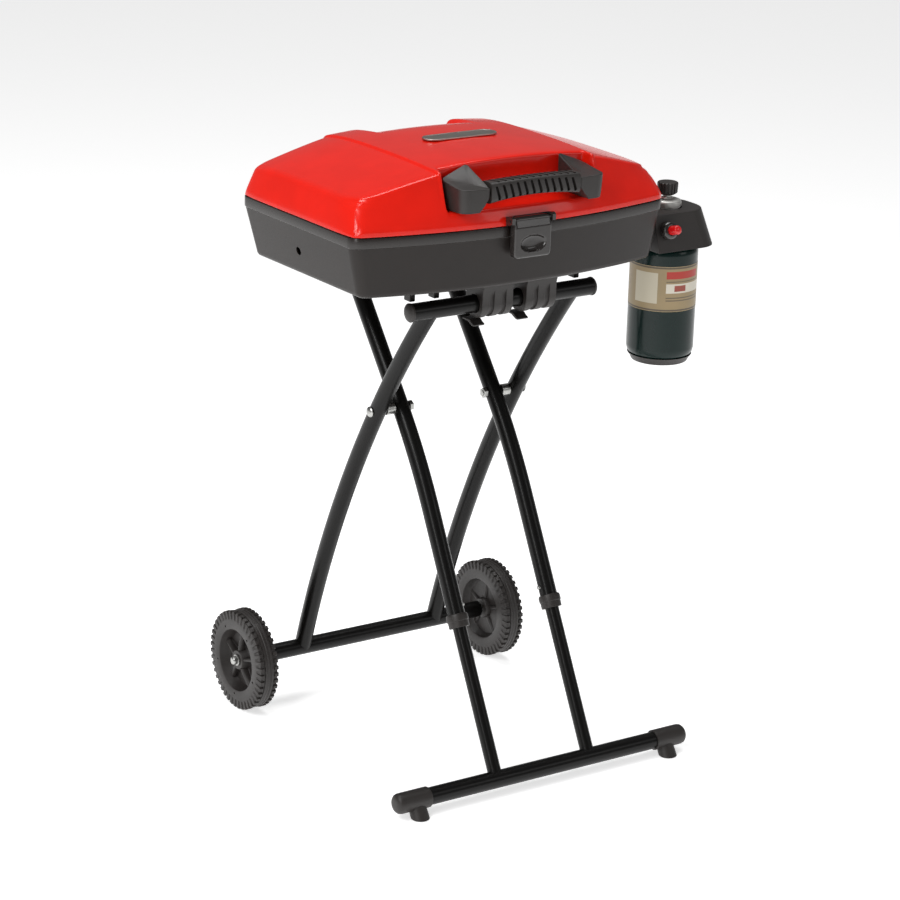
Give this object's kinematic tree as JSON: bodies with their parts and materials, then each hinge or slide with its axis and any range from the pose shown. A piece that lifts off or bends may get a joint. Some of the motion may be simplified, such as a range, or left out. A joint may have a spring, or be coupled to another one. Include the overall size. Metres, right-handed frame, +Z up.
{
  "type": "folding gas grill",
  "caption": "Folding gas grill on a wheeled scissor stand, with a hinged lid, carrying handle, front latch, regulator hood and screw-on gas cylinder.",
  "frame": {"origin": "on the floor under the middle of the whole grill's outline", "axes": "+Z up, +X towards the gas cylinder, -Y towards the front with the handle, latch and foot bar"},
  "size_m": [0.6515, 0.565, 0.8995],
  "materials": {
    "lid_enamel": "glossy red baked enamel on pressed steel",
    "box_enamel": "satin charcoal enamel on pressed steel",
    "tube_paint": "gloss black powder coat on steel tube",
    "dark_plastic": "satin moulded black plastic",
    "wheel_plastic": "matt moulded black plastic",
    "zinc": "bright zinc plate",
    "badge_metal": "satin stamped aluminium",
    "burner_steel": "plain steel, heat tinted",
    "tray_aluminium": "plain pressed aluminium",
    "cast_iron": "matt black porcelain-coated iron",
    "gas_green": "glossy dark green lacquer on a steel cylinder with a printed paper band",
    "red_button": "gloss red moulded plastic"
  },
  "bodies": {
    "wheel_frame": {"front_cross_tube": "tube_paint", "tube_plug_left": "dark_plastic", "tube_plug_right": "dark_plastic", "curved_leg_left": "tube_paint", "curved_leg_right": "tube_paint", "axle_tube": "tube_paint", "wheel_bolt_left": "zinc", "wheel_bolt_right": "zinc", "pivot_bolt_left": "zinc", "pivot_bolt_right": "zinc", "pivot_nut_left": "zinc", "pivot_nut_right": "zinc"},
    "wheel_left": {"wheel_left": "wheel_plastic"},
    "wheel_right": {"wheel_right": "wheel_plastic"},
    "foot_frame": {"upper_leg_left": "tube_paint", "upper_leg_right": "tube_paint", "rear_cross_tube": "tube_paint", "leg_collar_left": "dark_plastic", "leg_collar_right": "dark_plastic"},
    "foot_extension": {"lower_leg_left": "tube_paint", "lower_leg_right": "tube_paint", "foot_bar": "tube_paint", "foot_cap_left": "dark_plastic", "foot_cap_right": "dark_plastic"},
    "button_left": {"spring_button_left": "zinc"},
    "button_right": {"spring_button_right": "zinc"},
    "grill_box": {"firebox": "box_enamel", "grease_tray": "tray_aluminium", "burner": "burner_steel", "gas_pipe": "burner_steel", "cooktop_left": "cast_iron", "cooktop_right": "cast_iron", "regulator_hood": "dark_plastic", "regulator_body": "zinc", "igniter_collar": "dark_plastic", "gas_cylinder": "gas_green", "cylinder_foot": "dark_plastic", "clip_left": "dark_plastic", "clip_right": "dark_plastic", "rear_rest_left": "dark_plastic", "rear_rest_right": "dark_plastic", "hinge_box_left": "zinc", "hinge_box_right": "zinc", "hinge_pin_left": "zinc", "hinge_pin_right": "zinc"},
    "lid": {"lid": "lid_enamel", "badge_plate": "badge_metal", "handle_end_left": "dark_plastic", "handle_end_right": "dark_plastic", "handle_grip": "dark_plastic", "latch_keeper": "dark_plastic", "hinge_lid_left": "zinc", "hinge_lid_right": "zinc"},
    "latch": {"latch_lever": "dark_plastic"},
    "knob": {"control_knob": "dark_plastic"},
    "igniter": {"igniter_button": "red_button"},
    "clip_lever_left": {"clip_lever_left": "dark_plastic"},
    "clip_lever_right": {"clip_lever_right": "dark_plastic"}
  },
  "joints": [
    {"name": "wheel_spin_left", "type": "hinge", "parent": "wheel_frame", "child": "wheel_left", "pos_m": [-0.2838, 0.2075, 0.0762], "axis": [1, 0, 0], "continuous": true},
    {"name": "wheel_spin_right", "type": "hinge", "parent": "wheel_frame", "child": "wheel_right", "pos_m": [0.1634, 0.2075, 0.0762], "axis": [1, 0, 0], "continuous": true},
    {"name": "leg_fold", "type": "hinge", "parent": "wheel_frame", "child": "foot_frame", "pos_m": [-0.0602, 0.01353, 0.505], "axis": [1, 0, 0], "range_deg": [0, 42]},
    {"name": "leg_height", "type": "slide", "parent": "foot_frame", "child": "foot_extension", "axis": [0, 0.4664, 0.8846], "range_m": [0, 0.12]},
    {"name": "button_press_left", "type": "slide", "parent": "foot_frame", "child": "button_left", "axis": [-1, 0, 0], "range_m": [0, 0.0019], "stiffness_N_per_m": 1500},
    {"name": "button_press_right", "type": "slide", "parent": "foot_frame", "child": "button_right", "axis": [1, 0, 0], "range_m": [0, 0.0019], "stiffness_N_per_m": 1500},
    {"name": "box_tilt", "type": "hinge", "parent": "wheel_frame", "child": "grill_box", "pos_m": [-0.0602, -0.1145, 0.686], "axis": [1, 0, 0], "range_deg": [0, 84]},
    {"name": "lid_open", "type": "hinge", "parent": "grill_box", "child": "lid", "pos_m": [-0.0602, 0.1715, 0.808], "axis": [-1, 0, 0], "range_deg": [0, 95]},
    {"name": "latch_swing", "type": "hinge", "parent": "lid", "child": "latch", "pos_m": [-0.0632, -0.1834, 0.8175], "axis": [-1, 0, 0], "range_deg": [0, 75]},
    {"name": "knob_turn", "type": "hinge", "parent": "grill_box", "child": "knob", "pos_m": [0.2633, -0.0683, 0.8], "axis": [0, 0, 1], "range_deg": [0, 270]},
    {"name": "igniter_press", "type": "slide", "parent": "grill_box", "child": "igniter", "axis": [0, 0.9659, -0.2588], "range_m": [0, 0.004], "stiffness_N_per_m": 600},
    {"name": "clip_release_left", "type": "hinge", "parent": "grill_box", "child": "clip_lever_left", "pos_m": [-0.1067, -0.1135, 0.6595], "axis": [-1, 0, 0], "range_deg": [0, 20], "stiffness_Nm_per_rad": 0.1},
    {"name": "clip_release_right", "type": "hinge", "parent": "grill_box", "child": "clip_lever_right", "pos_m": [-0.0317, -0.1135, 0.6595], "axis": [-1, 0, 0], "range_deg": [0, 20], "stiffness_Nm_per_rad": 0.1}
  ],
  "couplings": [
    {"joint": "box_tilt", "follows": "leg_fold", "ratio": 2}
  ]
}
